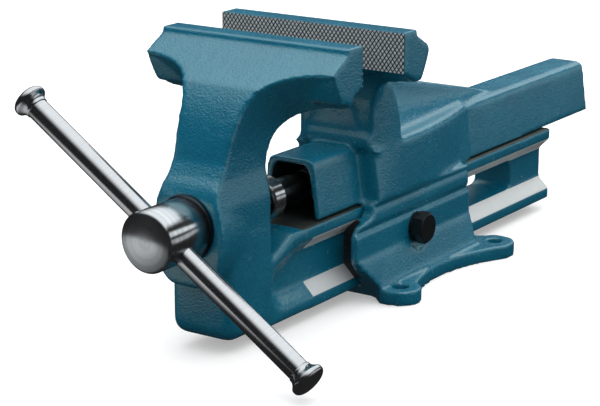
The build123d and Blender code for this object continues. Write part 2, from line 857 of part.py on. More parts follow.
def handle_frame(distance):
    """A location on the handle's axis, with its z axis along the bar to the right."""
    x, z = handle_axis(distance)
    return Pos(x, handle_y, z) * Rot(0, 90 + handle_tilt, 0)


def bar_length(radius, length, distance=0.0):
    """A round piece on the axis of the handle, centred at a distance along it."""
    return handle_frame(distance) * Cylinder(radius, length)


def spindle_screw():
    """The spindle: a round head with the handle's eye, and the long shank."""
    head = rod(head_diameter, head_front_y, head_rear_y)
    rims = head.edges().filter_by(GeomType.CIRCLE).sort_by(Axis.Y)
    head = chamfer(rims[0], head_chamfer)
    head = chamfer(head.edges().filter_by(GeomType.CIRCLE).sort_by(Axis.Y)[-1], head_chamfer / 2)
    shank = rod(spindle_diameter, head_rear_y, spindle_rear_y)
    shank = chamfer(shank.edges().filter_by(GeomType.CIRCLE).sort_by(Axis.Y)[-1], 2)
    spindle = head + shank
    spindle -= bar_length(handle_diameter / 2 + handle_gap, head_diameter + 4)
    for side in (-1, 1):
        spindle -= bar_length(ring_outer_radius + fit_gap, ring_section + 0.2, side * ring_place)
    collar_middle = collar_front_y + collar_length / 2
    pin_hole = Pos(0, collar_middle, spindle_axis_z) * Cylinder(pin_diameter / 2 + fit_gap, head_diameter)
    return spindle - pin_hole


def handle_friction_rings():
    """Two rubber rings in the eye, which hold the handle where it is left."""
    rings = []
    for side in (-1, 1):
        ring = handle_frame(side * ring_place) * Torus(ring_outer_radius - ring_section / 2, ring_section / 2)
        rings.append(ring)
    return Compound(children=rings)


def retaining_collar():
    """The collar that is pinned to the spindle behind the jaw."""
    rear_y = collar_front_y + collar_length
    ring = rod(collar_diameter, collar_front_y, rear_y)
    ring = chamfer(ring.edges().filter_by(GeomType.CIRCLE), 1)
    ring -= rod(spindle_diameter + 2 * fit_gap, collar_front_y - 1, rear_y + 1)
    middle = Pos(0, collar_front_y + collar_length / 2, spindle_axis_z)
    return ring - middle * Cylinder(pin_diameter / 2 + fit_gap, collar_diameter + 4)


def collar_pin():
    """The pin across the collar and the spindle."""
    middle = Pos(0, collar_front_y + collar_length / 2, spindle_axis_z)
    pin = middle * Cylinder(pin_diameter / 2, collar_diameter - 1)
    return chamfer(pin.edges().filter_by(GeomType.CIRCLE), 0.5)


def handle_bar():
    """The sliding bar, with reduced ends inside the knobs."""
    bar = bar_length(handle_diameter / 2, 2 * knob_start)
    spigot = bar_length(knob_spigot / 2, 2 * (knob_start + knob_socket_depth))
    return bar + spigot


def stacked(shape, z):
    """A turned piece moved up so that its lower end is at z."""
    return Pos(0, 0, z) * shape


def handle_knob(side):
    """A mushroom knob: a short flare, a rim and a low dome."""
    low = (Align.CENTER, Align.CENTER, Align.MIN)
    neck_radius = handle_diameter / 2 + 0.6
    rim_radius = knob_diameter / 2
    dome_start = knob_length - knob_dome
    dome_radius = (rim_radius**2 + knob_dome**2) / (2 * knob_dome)
    ball = Pos(0, 0, knob_length - dome_radius) * Sphere(dome_radius)
    knob = stacked(Cone(neck_radius, neck_radius + 1, knob_flare_start, align=low), 0)
    knob += stacked(Cone(neck_radius + 1, rim_radius, knob_flare, align=low), knob_flare_start)
    rim_start = knob_flare_start + knob_flare
    knob += stacked(Cylinder(rim_radius, dome_start - rim_start, align=low), rim_start)
    knob += ball & stacked(Cylinder(rim_radius, knob_dome, align=low), dome_start)
    knob -= stacked(Cylinder(knob_spigot / 2 + fit_gap, knob_socket_depth + fit_gap, align=low), 0)
    turn = Rot(0, 0, 0) if side > 0 else Rot(180, 0, 0)
    return handle_frame(side * knob_start) * turn * knob


parts = {
    "moving_jaw_body": moving_jaw_body(),
    "fixed_jaw_body": fixed_jaw_body(),
    "adjusting_gib": adjusting_gib(),
    "gib_pins": gib_pins(),
    "adjusting_bolt": adjusting_bolt(),
    "bolt_lock_washer": bolt_lock_washer(),
    "spindle_nut": spindle_nut(),
    "nut_pin": nut_pin(0),
    "thrust_washer": thrust_washer(),
    "recoil_spring": recoil_spring(),
    "spring_washer": spring_washer(),
    "spindle_screw": spindle_screw(),
    "handle_friction_rings": handle_friction_rings(),
    "retaining_collar": retaining_collar(),
    "collar_pin": collar_pin(),
    "handle_bar": handle_bar(),
    "handle_knob_left": handle_knob(-1),
    "handle_knob_right": handle_knob(1),
}

os.makedirs("parts", exist_ok=True)
for name, shape in parts.items():
    export_step(shape, "parts/" + name + ".step")
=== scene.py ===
import json
import math

import bmesh
import bpy
import numpy as np
from mathutils import Matrix, Vector

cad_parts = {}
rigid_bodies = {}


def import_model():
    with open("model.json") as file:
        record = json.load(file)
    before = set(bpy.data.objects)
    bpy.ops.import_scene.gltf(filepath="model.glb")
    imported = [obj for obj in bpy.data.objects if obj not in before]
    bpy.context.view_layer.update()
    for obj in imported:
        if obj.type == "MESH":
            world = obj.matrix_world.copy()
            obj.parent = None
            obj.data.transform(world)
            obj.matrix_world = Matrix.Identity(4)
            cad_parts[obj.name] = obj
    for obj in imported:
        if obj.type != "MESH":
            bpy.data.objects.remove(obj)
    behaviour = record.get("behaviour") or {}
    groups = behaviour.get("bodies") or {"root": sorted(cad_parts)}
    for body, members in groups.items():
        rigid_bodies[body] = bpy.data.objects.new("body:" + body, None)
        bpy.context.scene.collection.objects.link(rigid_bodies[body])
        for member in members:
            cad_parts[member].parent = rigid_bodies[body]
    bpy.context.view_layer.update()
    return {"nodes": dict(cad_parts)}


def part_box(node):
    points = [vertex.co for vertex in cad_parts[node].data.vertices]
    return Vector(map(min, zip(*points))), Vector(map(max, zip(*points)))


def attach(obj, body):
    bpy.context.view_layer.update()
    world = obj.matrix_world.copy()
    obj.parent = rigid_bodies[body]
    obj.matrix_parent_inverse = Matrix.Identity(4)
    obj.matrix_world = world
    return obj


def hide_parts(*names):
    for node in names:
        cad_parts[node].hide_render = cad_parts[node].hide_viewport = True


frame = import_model()
nodes = frame["nodes"]
collection = bpy.context.scene.collection
print("frame loaded:", len(nodes), "nodes")

axisZ = 0.082                           # height of the spindle
handleTilt = math.radians(34.0)
jaws = {
    "fixedFaceY": -0.099, "movingFaceY": -0.147,
    "topZ": 0.186, "gripTall": 0.026, "halfWide": 0.07,
}


# a node tree: adds nodes by type, sets their sockets and links them
class Tree:

    def __init__(self, tree):
        self.tree = tree
        tree.nodes.clear()

    def add(self, kind, **given):
        node = self.tree.nodes.new(kind)
        for name, value in given.items():
            setattr(node, name, value)
        return node

    def feed(self, socket, value):
        if isinstance(value, bpy.types.NodeSocket):
            self.tree.links.new(value, socket)
        else:
            socket.default_value = value

    def math(self, operation, a, b=0.0, c=None):
        node = self.add("ShaderNodeMath", operation=operation)
        self.feed(node.inputs[0], a)
        self.feed(node.inputs[1], b)
        if c is not None:
            self.feed(node.inputs[2], c)
        return node.outputs[0]

    def product(self, first, *others):
        for other in others:
            first = self.math("MULTIPLY", first, other)
        return first

    def total(self, first, *others):
        for other in others:
            first = self.math("ADD", first, other)
        return first

    # 1 where value lies between low and high, else 0
    def between(self, value, low, high):
        return self.product(self.math("GREATER_THAN", value, low), self.math("LESS_THAN", value, high))

    # a noise from 0 to 1 becomes a swing round a middle value
    def swing(self, noise, middle, amount):
        return self.total(middle, self.product(self.math("SUBTRACT", noise, 0.5), amount))

    # 0 at start, 1 at end
    def ramp(self, value, start, end, curve="LINEAR"):
        node = self.add("ShaderNodeMapRange", clamp=True, interpolation_type=curve)
        self.feed(node.inputs["Value"], value)
        node.inputs["From Min"].default_value = start
        node.inputs["From Max"].default_value = end
        return node.outputs[0]

    def smoothRamp(self, value, start, end):
        return self.ramp(value, start, end, "SMOOTHSTEP")

    def mixColour(self, share, a, b):
        node = self.add("ShaderNodeMix", data_type="RGBA")
        self.feed(node.inputs[0], share)
        self.feed(node.inputs[6], a)
        self.feed(node.inputs[7], b)
        return node.outputs[2]

    def mixValue(self, share, a, b):
        node = self.add("ShaderNodeMix", data_type="FLOAT")
        self.feed(node.inputs[0], share)
        self.feed(node.inputs[2], a)
        self.feed(node.inputs[3], b)
        return node.outputs[0]

    def combine(self, x=0.0, y=0.0, z=0.0):
        node = self.add("ShaderNodeCombineXYZ")
        for socket, value in zip(node.inputs, (x, y, z)):
            self.feed(socket, value)
        return node.outputs[0]

    def separate(self, vector):
        node = self.add("ShaderNodeSeparateXYZ")
        self.feed(node.inputs[0], vector)
        return node.outputs

    def stretch(self, vector, scale):
        node = self.add("ShaderNodeMapping")
        self.feed(node.inputs["Vector"], vector)
        node.inputs["Scale"].default_value = scale
        return node.outputs[0]

    def noise(self, vector, scale, detail):
        node = self.add("ShaderNodeTexNoise")
        self.feed(node.inputs["Vector"], vector)
        node.inputs["Scale"].default_value = scale
        node.inputs["Detail"].default_value = detail
        return node.outputs[0]

    def bump(self, height, strength, depth, under=None):
        node = self.add("ShaderNodeBump")
        node.inputs["Strength"].default_value = strength
        node.inputs["Distance"].default_value = depth
        self.feed(node.inputs["Height"], height)
        if under is not None:
            self.feed(node.inputs["Normal"], under)
        return node.outputs[0]


def startMaterial(name):
    material = bpy.data.materials.new(name)
    material.use_nodes = True
    tree = Tree(material.node_tree)
    out = tree.add("ShaderNodeOutputMaterial")
    shader = tree.add("ShaderNodeBsdfPrincipled")
    tree.feed(out.inputs["Surface"], shader.outputs[0])
    place = tree.add("ShaderNodeTexCoord").outputs["Object"]
    return material, tree, shader, place


def finish(tree, shader, colour, roughness, normal):
    tree.feed(shader.inputs["Base Color"], colour)
    tree.feed(shader.inputs["Roughness"], roughness)
    tree.feed(shader.inputs["Normal"], normal)


# the slide beam: |x| + z is constant on its machined lower facets, z - |x| on the upper
# ones, and its flat top between the jaws is darkened with painted shade
slide = {
    "lowerSum": 0.040, "lowerFrom": 0.0158, "lowerTo": 0.0246,
    "upperRise": 0.031, "upperFrom": 0.0464, "upperTo": 0.0552,
    "facetWithin": 0.0007, "facetStartY": -0.131,
    "topZ": 0.0660, "topWithin": 0.0040, "topHalfWide": 0.0235, "topStartY": -0.142,
}
# the bore of the guide, machined
guideBore = {"halfWide": 0.0242, "bottomZ": 0.0078, "topZ": 0.0632, "startY": -0.085}
# the hollow of the channel over the spindle, darkened with painted shade
channel = {
    "bottomZ": 0.0640, "topZ": 0.0982, "frontY": -0.1212, "backY": -0.050,
    "halfWide": 0.0205,                 # at its bottom
    "lean": 0.118,                      # its sides lean in by this slope
}


def slideFacets(tree, x, y, z):
    side = tree.math("ABSOLUTE", x)
    lower = tree.math("COMPARE", tree.total(side, z), slide["lowerSum"], slide["facetWithin"])
    lower = tree.product(lower, tree.between(z, slide["lowerFrom"], slide["lowerTo"]))
    upper = tree.math("COMPARE", tree.math("SUBTRACT", z, side), slide["upperRise"], slide["facetWithin"])
    upper = tree.product(upper, tree.between(z, slide["upperFrom"], slide["upperTo"]))
    behind = tree.math("GREATER_THAN", y, slide["facetStartY"])
    return tree.product(tree.math("MAXIMUM", lower, upper), behind)


# painted shade: the flat top of the slide beam under the spindle, between the jaws
def slideTopShade(tree, x, y, z):
    top = tree.math("COMPARE", z, slide["topZ"], slide["topWithin"])
    middle = tree.math("LESS_THAN", tree.math("ABSOLUTE", x), slide["topHalfWide"])
    return tree.product(top, middle, tree.math("GREATER_THAN", y, slide["topStartY"]))


def guideFacets(tree, x, y, z):
    inside = tree.math("LESS_THAN", tree.math("ABSOLUTE", x), guideBore["halfWide"])
    inside = tree.product(inside, tree.between(z, guideBore["bottomZ"], guideBore["topZ"]))
    return tree.product(inside, tree.math("GREATER_THAN", y, guideBore["startY"]))


# painted shade: the inside of the channel over the spindle
def channelShade(tree, x, y, z):
    lean = tree.product(tree.math("SUBTRACT", z, channel["bottomZ"]), channel["lean"])
    inside = tree.math("LESS_THAN", tree.total(tree.math("ABSOLUTE", x), lean), channel["halfWide"])
    inside = tree.product(inside, tree.between(z, channel["bottomZ"], channel["topZ"]))
    return tree.product(inside, tree.between(y, channel["frontY"], channel["backY"]))


enamel = {
    "deep": (0.002, 0.110, 0.192, 1),
    "light": (0.006, 0.150, 0.240, 1),
    "toneFrom": 0.38, "toneTo": 0.62,
    "sheenIndex": 2.10,                 # index of refraction: flakes give a strong sheen
    "sheenTint": (0.86, 1.0, 0.84, 1),
    "roughness": 0.25, "roughnessSwing": 0.20,
    "flakeSize": 0.0013, "flakeBump": 0.75, "flakeDepth": 0.0004,
    "hammerSize": 0.0070, "hammerBump": 0.30, "hammerDepth": 0.0009,
    "cloudSize": 0.05,
    "hammerShare": 0.6,                 # of the uneven gloss; clouds make the rest
    "facetDark": (0.70, 0.73, 0.75, 1),
    "facetLight": (0.88, 0.90, 0.91, 1),
    "facetMetal": 0.35, "facetRoughness": 0.55,
    "facetMarks": (60, 1800, 60),
    # near black painted shade, laid where a mask says the surface lies in shadow
    "paintedShade": (0.004, 0.006, 0.008, 1), "paintedShadeRoughness": 0.60,
}


# metallic enamel on a forged skin, with bare machined facets and painted shade on surfaces that lie in
# shadow
def forgedEnamel(name, machined, paintedShade):
    material, tree, shader, place = startMaterial(name)
    x, y, z = tree.separate(place)
    flakes = tree.noise(place, 1 / enamel["flakeSize"], 1.0)
    hammer = tree.noise(place, 1 / enamel["hammerSize"], 3.0)
    cloud = tree.noise(place, 1 / enamel["cloudSize"], 3.0)
    tone = tree.total(tree.product(flakes, 0.5), tree.product(cloud, 0.5))
    tone = tree.ramp(tone, enamel["toneFrom"], enamel["toneTo"])
    colour = tree.mixColour(tone, enamel["deep"], enamel["light"])
    share = enamel["hammerShare"]
    uneven = tree.total(tree.product(hammer, share), tree.product(cloud, 1 - share))
    roughness = tree.swing(uneven, enamel["roughness"], enamel["roughnessSwing"])
    shape = tree.bump(hammer, enamel["hammerBump"], enamel["hammerDepth"])
    shape = tree.bump(flakes, enamel["flakeBump"], enamel["flakeDepth"], shape)

    bare = machined(tree, x, y, z)
    marks = tree.noise(tree.stretch(place, enamel["facetMarks"]), 1.0, 3.0)
    steel = tree.mixColour(marks, enamel["facetDark"], enamel["facetLight"])
    colour = tree.mixColour(bare, colour, steel)
    roughness = tree.mixValue(bare, roughness, enamel["facetRoughness"])
    tree.feed(shader.inputs["Metallic"], tree.product(bare, enamel["facetMetal"]))

    # painted shade: darken the enamel where the mask says the surface lies in shadow
    dark = paintedShade(tree, x, y, z)
    colour = tree.mixColour(dark, colour, enamel["paintedShade"])
    roughness = tree.mixValue(dark, roughness, enamel["paintedShadeRoughness"])
    shader.inputs["IOR"].default_value = enamel["sheenIndex"]
    shader.inputs["Specular Tint"].default_value = enamel["sheenTint"]
    finish(tree, shader, colour, roughness, shape)
    return material


turning = {
    "fineRings": 2600.0, "ringBump": 0.35, "ringDepth": 0.00003,
    "broadRings": 300.0, "toneFrom": 0.35, "toneTo": 0.65,
    "smear": 60.0, "smearSwing": 0.10,
}


# turned steel: fine rings round an axis along Y stretch the highlights across them,
# on end faces and on the sides alike
def turnedSteel(name, dark, light, roughness, brush):
    material, tree, shader, place = startMaterial(name)
    x, y, z = tree.separate(place)
    rise = tree.math("SUBTRACT", z, axisZ)
    radius = tree.math("SQRT", tree.total(tree.product(x, x), tree.product(rise, rise)))
    ringPlace = tree.combine(radius, y)
    fine = tree.noise(ringPlace, turning["fineRings"], 1.0)
    broad = tree.noise(ringPlace, turning["broadRings"], 2.0)
    smear = tree.noise(place, turning["smear"], 3.0)
    groove = tree.add(
        "ShaderNodeVectorTransform", vector_type="VECTOR", convert_from="OBJECT", convert_to="WORLD")
    tree.feed(groove.inputs[0], tree.combine(rise, 0.0, tree.product(x, -1.0)))
    tree.feed(shader.inputs["Tangent"], groove.outputs[0])
    shader.inputs["Anisotropic"].default_value = brush
    shader.inputs["Anisotropic Rotation"].default_value = 0.25      # a quarter turn
    shader.inputs["Metallic"].default_value = 1.0
    tone = tree.ramp(broad, turning["toneFrom"], turning["toneTo"])
    colour = tree.mixColour(tone, dark, light)
    shape = tree.bump(fine, turning["ringBump"], turning["ringDepth"])
    finish(tree, shader, colour, tree.swing(smear, roughness, turning["smearSwing"]), shape)
    return material


grinding = {
    "marks": (2200, 60, 60), "markBump": 0.10, "markDepth": 0.00003,
    "toneFrom": 0.3, "toneTo": 0.7,
    "smear": 45.0, "smearSwing": 0.08,
}


# ground bar: fine marks round the bar, whose axis leans by tilt in the XZ plane
def groundSteel(name, tilt, dark, light, roughness):
    material, tree, shader, place = startMaterial(name)
    along = tree.add("ShaderNodeMapping", vector_type="TEXTURE")
    tree.feed(along.inputs["Vector"], place)
    along.inputs["Location"].default_value = (0, 0, axisZ)
    along.inputs["Rotation"].default_value = (0, tilt, 0)
    marks = tree.noise(tree.stretch(along.outputs[0], grinding["marks"]), 1.0, 2.0)
    smear = tree.noise(place, grinding["smear"], 3.0)
    shader.inputs["Metallic"].default_value = 1.0
    tone = tree.ramp(marks, grinding["toneFrom"], grinding["toneTo"])
    colour = tree.mixColour(tone, dark, light)
    shape = tree.bump(marks, grinding["markBump"], grinding["markDepth"])
    finish(tree, shader, colour, tree.swing(smear, roughness, grinding["smearSwing"]), shape)
    return material


speckle = {"toneFrom": 0.35, "toneTo": 0.7, "grainBump": 0.4, "clouds": 90.0, "cloudSwing": 0.2}


# a finish with a fine speckle: black oxide, cast iron, rubber, oiled wire
def speckled(name, dark, light, size, roughness, metal, depth):
    material, tree, shader, place = startMaterial(name)
    grain = tree.noise(place, 1 / size, 3.0)
    cloud = tree.noise(place, speckle["clouds"], 2.0)
    shader.inputs["Metallic"].default_value = metal
    tone = tree.ramp(grain, speckle["toneFrom"], speckle["toneTo"])
    colour = tree.mixColour(tone, dark, light)
    shape = tree.bump(grain, speckle["grainBump"], depth)
    finish(tree, shader, colour, tree.swing(cloud, roughness, speckle["cloudSwing"]), shape)
    return material


knurlFinish = {
    # groove: near black painted shade in the grooves; tip: the bare steel
    "groove": (0.012, 0.018, 0.020, 1), "tip": (0.80, 0.84, 0.86, 1),
    "grooveMetal": 0.3, "tipMetal": 0.55,
    "grooveRoughness": 0.6, "tipRoughness": 0.45,
    # below this share of the tooth height the grooves are darkened as painted shade
    "bareFrom": 0.42, "bareTo": 0.66,   # share of the tooth height where the steel shows
    "heightSwing": 0.3,
    "grain": 1500.0, "grainBump": 0.2, "grainDepth": 0.0002,
}


# knurled grip: bright bare steel on the tips over grooves darkened with painted shade
def knurledSteel(name, rootY, tipY):
    material, tree, shader, place = startMaterial(name)
    grain = tree.noise(place, knurlFinish["grain"], 2.0)
    height = tree.ramp(tree.separate(place)[1], rootY, tipY)
    swungHeight = tree.swing(grain, height, knurlFinish["heightSwing"])
    bright = tree.ramp(swungHeight, knurlFinish["bareFrom"], knurlFinish["bareTo"])
    metal = tree.mixValue(bright, knurlFinish["grooveMetal"], knurlFinish["tipMetal"])
    tree.feed(shader.inputs["Metallic"], metal)
    # painted shade: the lower the point on a tooth, the darker it is
    colour = tree.mixColour(bright, knurlFinish["groove"], knurlFinish["tip"])
    roughness = tree.mixValue(bright, knurlFinish["grooveRoughness"], knurlFinish["tipRoughness"])
    shape = tree.bump(grain, knurlFinish["grainBump"], knurlFinish["grainDepth"])
    finish(tree, shader, colour, roughness, shape)
    return material


movingEnamel = forgedEnamel("enamelMovingJaw", slideFacets, slideTopShade)
fixedEnamel = forgedEnamel("enamelFixedJaw", guideFacets, channelShade)
spindleSteel = turnedSteel(
    "turnedSpindle", dark=(0.56, 0.60, 0.62, 1), light=(0.68, 0.72, 0.74, 1), roughness=0.20, brush=0.70)
washerSteel = turnedSteel(
    "turnedWasher", dark=(0.06, 0.07, 0.08, 1), light=(0.12, 0.13, 0.14, 1), roughness=0.34, brush=0.5)
barSteel = groundSteel(
    "groundBar", handleTilt, dark=(0.57, 0.59, 0.61, 1), light=(0.63, 0.65, 0.67, 1), roughness=0.18)
blackOxide = speckled(
    "blackOxide", dark=(0.006, 0.008, 0.009, 1), light=(0.020, 0.023, 0.025, 1),
    size=0.0006, roughness=0.30, metal=0.4, depth=0.00012)
gibIron = speckled(
    "gibIron", dark=(0.018, 0.020, 0.022, 1), light=(0.050, 0.054, 0.056, 1),
    size=0.0008, roughness=0.50, metal=0.5, depth=0.0002)
springSteel = speckled(
    "springWire", dark=(0.16, 0.16, 0.15, 1), light=(0.30, 0.30, 0.29, 1),
    size=0.0007, roughness=0.30, metal=1.0, depth=0.0001)
ringRubber = speckled(
    "ringRubber", dark=(0.008, 0.008, 0.008, 1), light=(0.02, 0.02, 0.02, 1),
    size=0.0005, roughness=0.65, metal=0.0, depth=0.0001)
print("finishes ready")


mergeWithin = 2e-6


# a copy of a CAD node with its corners joined
def mergedCopy(nodeName, pieceName):
    piece = bpy.data.objects.new(pieceName, nodes[nodeName].data.copy())
    collection.objects.link(piece)
    work = bmesh.new()
    work.from_mesh(piece.data)
    bmesh.ops.remove_doubles(work, verts=work.verts, dist=mergeWithin)
    work.to_mesh(piece.data)
    work.free()
    return piece


# turn the evaluated piece, modifiers and all, into its plain mesh
def settle(piece):
    graph = bpy.context.evaluated_depsgraph_get()
    graph.update()
    done = bpy.data.meshes.new_from_object(piece.evaluated_get(graph))
    piece.modifiers.clear()
    piece.data = done


def coordinates(mesh):
    flat = np.empty(len(mesh.vertices) * 3)
    mesh.vertices.foreach_get("co", flat)
    return flat.reshape(-1, 3)


# round the edges: each round, a point drifts halfway to the middle of its neighbours,
# times its weight
def relax(mesh, weight, rounds):
    place = coordinates(mesh)
    count = len(place)
    edges = np.empty(len(mesh.edges) * 2, dtype=np.int64)
    mesh.edges.foreach_get("vertices", edges)
    a, b = edges.reshape(-1, 2).T
    degree = np.bincount(np.concatenate([a, b]), minlength=count)
    share = (0.5 * weight / np.maximum(degree, 1))[:, None]
    for step in range(rounds):
        total = np.empty_like(place)
        for axis in range(3):
            total[:, axis] = np.bincount(a, place[b, axis], count) + np.bincount(b, place[a, axis], count)
        place += share * (total - degree[:, None] * place)
    mesh.vertices.foreach_set("co", place.ravel())
    mesh.update()


def dress(piece, material):
    piece.data.materials.clear()
    piece.data.materials.append(material)
    piece.data.polygons.foreach_set("use_smooth", [True] * len(piece.data.polygons))
    piece.data.update()


# 0 below low, 1 above high, smooth between
def blend(value, low, high):
    t = np.clip((value - low) / (high - low), 0, 1)
    return t * t * (3 - 2 * t)


forging = {
    "movingVoxel": 0.00129, "movingRounds": 11,
    "fixedVoxel": 0.00150, "fixedRounds": 5,
    "quickVoxel": 1.8,
}
# how much each part of a forging is rounded, as a share of full, and where that part
# lies; the shares multiply where parts overlap
block = {"rounding": 0.22, "fromZ": 0.150, "toZ": 0.160, "gripFromZ": 0.1585, "gripDepth": 0.0006}
beam = {"rounding": 0.1, "frontY": -0.146, "backY": -0.132, "topZ": 0.0665}
bossBore = {
    "radius": 0.0206, "edge": 0.0230,
    "gain": 2, "gainRadius": 0.024, "gainFromY": -0.20,     # outside this radius, behind this y
}
housing = {
    "wallRounding": 0.30, "wallHalf": 0.0355, "wallTopZ": 0.066,
    "boreHalf": 0.0245, "boreTopZ": 0.0645,
    "footRounding": 0.45, "footTopZ": 0.0102, "undersideZ": 0.0004,
    "channelRounding": 0.45, "channelFrontY": -0.078, "channelBottomZ": 0.062, "channelTopZ": 0.104,
    "tailY": 0.074,
    "holeX": 0.048, "holeY": 0.064, "holeRadius": 0.0068, "holeEdge": 0.0085,
}


def weighBlock(z):
    free = 1 - blend(z, block["fromZ"], block["toZ"])
    return block["rounding"] + (1 - block["rounding"]) * free


def weighMoving(place):
    x, y, z = place.T
    weight = weighBlock(z)
    weight[(z > block["gripFromZ"]) & (y > jaws["movingFaceY"] - block["gripDepth"])] = 0
    onBeam = blend(y, beam["frontY"], beam["backY"]) * (z < beam["topZ"])
    weight *= 1 - (1 - beam["rounding"]) * onBeam
    reach = np.hypot(x, z - axisZ)
    weight *= blend(reach, bossBore["radius"], bossBore["edge"])
    weight[(reach > bossBore["gainRadius"]) & (y > bossBore["gainFromY"])] *= bossBore["gain"]
    return np.clip(weight, 0, 1)


def weighFixed(place):
    x, y, z = place.T
    side = np.abs(x)
    weight = weighBlock(z)
    weight[(z > block["gripFromZ"]) & (y < jaws["fixedFaceY"] + block["gripDepth"])] = 0
    weight[(z < housing["wallTopZ"]) & (side < housing["wallHalf"])] *= housing["wallRounding"]
    weight[(side < housing["boreHalf"]) & (z < housing["boreTopZ"])] = 0
    weight[z < housing["footTopZ"]] *= housing["footRounding"]
    weight[z < housing["undersideZ"]] = 0
    atChannel = (z > housing["channelBottomZ"]) & (z < housing["channelTopZ"])
    atChannel &= y < housing["channelFrontY"]
    weight[atChannel | (y > housing["tailY"])] *= housing["channelRounding"]
    for holeX in (-housing["holeX"], housing["holeX"]):
        for holeY in (-housing["holeY"], housing["holeY"]):
            reach = np.hypot(x - holeX, y - holeY)
            weight *= blend(reach, housing["holeRadius"], housing["holeEdge"])
    return weight


# a forged piece with soft edges: an even skin, relaxed except where it is machined
def softForging(nodeName, pieceName, weigh, voxel, rounds, material):
    piece = mergedCopy(nodeName, pieceName)
    skin = piece.modifiers.new("skin", "REMESH")
    skin.mode = "VOXEL"
    skin.voxel_size = voxel * 1
    settle(piece)
    relax(piece.data, weigh(coordinates(piece.data)), rounds)
    dress(piece, material)
    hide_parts(nodeName)
    print(pieceName, len(piece.data.polygons), "faces")
    return piece


movingForging = softForging(
    "moving_jaw_body", "movingJawForging", weighMoving,
    forging["movingVoxel"], forging["movingRounds"], movingEnamel)
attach(movingForging, "moving_jaw")
fixedForging = softForging(
    "fixed_jaw_body", "fixedJawForging", weighFixed,
    forging["fixedVoxel"], forging["fixedRounds"], fixedEnamel)
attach(fixedForging, "fixed_jaw")


socketKinds = {float: "NodeSocketFloat", int: "NodeSocketInt", bpy.types.Material: "NodeSocketMaterial"}


# a Geometry Nodes tree whose inputs are named by a dictionary of values
class Growth(Tree):

    def __init__(self, name, values):
        super().__init__(bpy.data.node_groups.new(name, "GeometryNodeTree"))
        self.values = values
        self.ids = {}
        sockets = self.tree.interface
        sockets.new_socket("Geometry", in_out="INPUT", socket_type="NodeSocketGeometry")
        sockets.new_socket("Geometry", in_out="OUTPUT", socket_type="NodeSocketGeometry")
        for label, value in values.items():
            socket = sockets.new_socket(label, in_out="INPUT", socket_type=socketKinds[type(value)])
            socket.default_value = value
            self.ids[label] = socket.identifier
        self.inner = self.tree.nodes.new("NodeGroupInput")
        self.outer = self.tree.nodes.new("NodeGroupOutput")

    def given(self, label):
        return self.inner.outputs[label]

    def move(self, geometry, **change):
        node = self.add("GeometryNodeTransform")
        self.feed(node.inputs["Geometry"], geometry)
        for label, value in change.items():
            self.feed(node.inputs[label.capitalize()], value)
        return node.outputs[0]

    def join(self, *parts):
        node = self.add("GeometryNodeJoinGeometry")
        for part in parts:
            self.feed(node.inputs[0], part)
        return node.outputs[0]

    def close(self, geometry):
        real = self.add("GeometryNodeRealizeInstances")
        paint = self.add("GeometryNodeSetMaterial")
        self.feed(real.inputs[0], geometry)
        self.feed(paint.inputs["Geometry"], real.outputs[0])
        self.feed(paint.inputs["Material"], self.given("Material"))
        self.feed(self.outer.inputs[0], paint.outputs[0])

    # the plain mesh that the tree makes
    def grow(self, pieceName):
        piece = bpy.data.objects.new(pieceName, bpy.data.meshes.new(pieceName))
        collection.objects.link(piece)
        modifier = piece.modifiers.new("growth", "NODES")
        modifier.node_group = self.tree
        for label, value in self.values.items():
            modifier[self.ids[label]] = value
        settle(piece)
        return piece


knurl = {
    "wide": 0.0030, "tall": 0.0041, "high": 0.0008,
    "tip": 0.55,                        # width of a tip as a share of its foot
    "inset": 0.0005,                    # plain rim round the grip
    "sink": 0.0001,                     # the rows start this deep in the jaw
}


# rows of cut pyramids, every second row shifted by half a cell
def knurlRows(pieceName, material):
    rows = Growth("knurlRows", {
        "Width": 2 * jaws["halfWide"], "Height": jaws["gripTall"],
        "Cell Width": knurl["wide"], "Cell Height": knurl["tall"],
        "Tooth Height": knurl["high"], "Tip": knurl["tip"], "Material": material,
    })
    across, up = rows.given("Cell Width"), rows.given("Cell Height")
    tooth = rows.add("GeometryNodeMeshCone")
    tooth.inputs["Vertices"].default_value = 4      # the sides of a pyramid
    rows.feed(tooth.inputs["Radius Top"], rows.given("Tip"))
    tooth.inputs["Radius Bottom"].default_value = 1.0
    tooth.inputs["Depth"].default_value = 1.0
    columns = rows.math("CEIL", rows.math("DIVIDE", rows.given("Width"), across))
    lines = rows.math("CEIL", rows.math("DIVIDE", rows.given("Height"), up))
    grids = []
    for shift in (0.0, 0.5):
        grid = rows.add("GeometryNodeMeshGrid")
        rows.feed(grid.inputs["Size X"], rows.product(columns, across))
        rows.feed(grid.inputs["Size Y"], rows.product(lines, up))
        rows.feed(grid.inputs["Vertices X"], rows.total(columns, 1))
        rows.feed(grid.inputs["Vertices Y"], rows.total(lines, 1))
        offset = rows.combine(rows.product(across, shift), rows.product(up, shift))
        grids.append(rows.move(grid.outputs["Mesh"], translation=offset))
    seat = rows.add("GeometryNodeInstanceOnPoints")
    rows.feed(seat.inputs["Points"], rows.join(*grids))
    rows.feed(seat.inputs["Instance"], tooth.outputs["Mesh"])
    size = rows.combine(rows.product(across, 0.5), rows.product(up, 0.5), rows.given("Tooth Height"))
    rows.feed(seat.inputs["Scale"], size)
    rows.close(seat.outputs[0])
    return rows.grow(pieceName)


# drop what lies beyond a plane and close the cut
def sliceOff(work, point, normal):
    everything = work.verts[:] + work.edges[:] + work.faces[:]
    cut = bmesh.ops.bisect_plane(work, geom=everything, plane_co=point, plane_no=normal, clear_outer=True)
    edges = [part for part in cut["geom_cut"] if isinstance(part, bmesh.types.BMEdge)]
    bmesh.ops.edgenet_fill(work, edges=edges)


